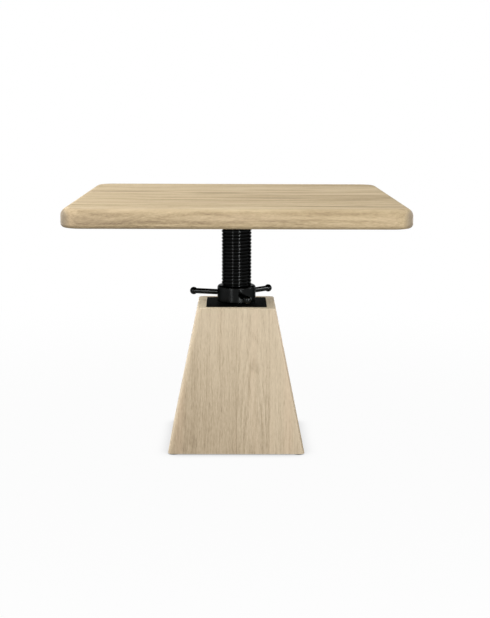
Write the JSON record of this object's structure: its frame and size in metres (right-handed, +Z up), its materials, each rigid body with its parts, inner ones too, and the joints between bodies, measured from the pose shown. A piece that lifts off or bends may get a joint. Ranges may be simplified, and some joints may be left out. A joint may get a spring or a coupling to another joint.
{
  "type": "telescoping pedestal table",
  "caption": "Square oak table top on a black lifting screw, raised and lowered by a nut with handle bars, on a hollow pyramid-shaped oak base.",
  "frame": {"origin": "on the floor, under the axis of the lifting screw, which is the centre of the base and of the top", "axes": "+Z up along the lifting screw, +X to the right along the boards of the top, +Y away from the front"},
  "size_m": [0.914, 0.914, 0.725],
  "materials": {
    "top_oak": "pale greyish oak, matt oil, long grain along X",
    "base_oak": "pale greyish oak, matt oil, grain upright",
    "black_steel": "black, semi-gloss",
    "bare_steel": "mill finish, lightly oiled",
    "zinc_screws": "zinc plated",
    "plywood": "birch plywood, bare",
    "felt": "pressed felt"
  },
  "bodies": {
    "base": {"base_front_stave_1": "base_oak", "base_front_stave_2": "base_oak", "base_front_stave_3": "base_oak", "base_right_stave_1": "base_oak", "base_right_stave_2": "base_oak", "base_right_stave_3": "base_oak", "base_back_stave_1": "base_oak", "base_back_stave_2": "base_oak", "base_back_stave_3": "base_oak", "base_left_stave_1": "base_oak", "base_left_stave_2": "base_oak", "base_left_stave_3": "base_oak", "bottom_board": "plywood", "bottom_board_screws": "zinc_screws", "felt_pads": "felt", "flange_plate": "black_steel", "flange_plate_screws": "black_steel", "guide_tube": "bare_steel", "thrust_ring": "black_steel"},
    "nut": {"handle_nut": "black_steel", "handle_bar_1": "black_steel", "handle_bar_2": "black_steel", "handle_bar_3": "black_steel"},
    "lift": {"lifting_screw": "black_steel", "guide_block": "bare_steel", "guide_pin": "bare_steel", "top_plate": "black_steel", "top_plate_screws": "black_steel", "batten_left": "top_oak", "batten_right": "top_oak", "batten_screws": "zinc_screws", "top_board_1": "top_oak", "top_board_2": "top_oak", "top_board_3": "top_oak", "top_board_4": "top_oak", "top_board_5": "top_oak", "top_board_6": "top_oak", "top_board_7": "top_oak"}
  },
  "joints": [
    {"name": "nut_turn", "type": "hinge", "parent": "base", "child": "nut", "pos_m": [0, 0, 0.4375], "axis": [0, 0, 1], "range_deg": [-4680, 6840]},
    {"name": "top_lift", "type": "slide", "parent": "base", "child": "lift", "axis": [0, 0, 1], "range_m": [-0.1901, 0.1301]}
  ],
  "couplings": [
    {"joint": "top_lift", "follows": "nut_turn", "m_per_rad": -0.0015915}
  ]
}
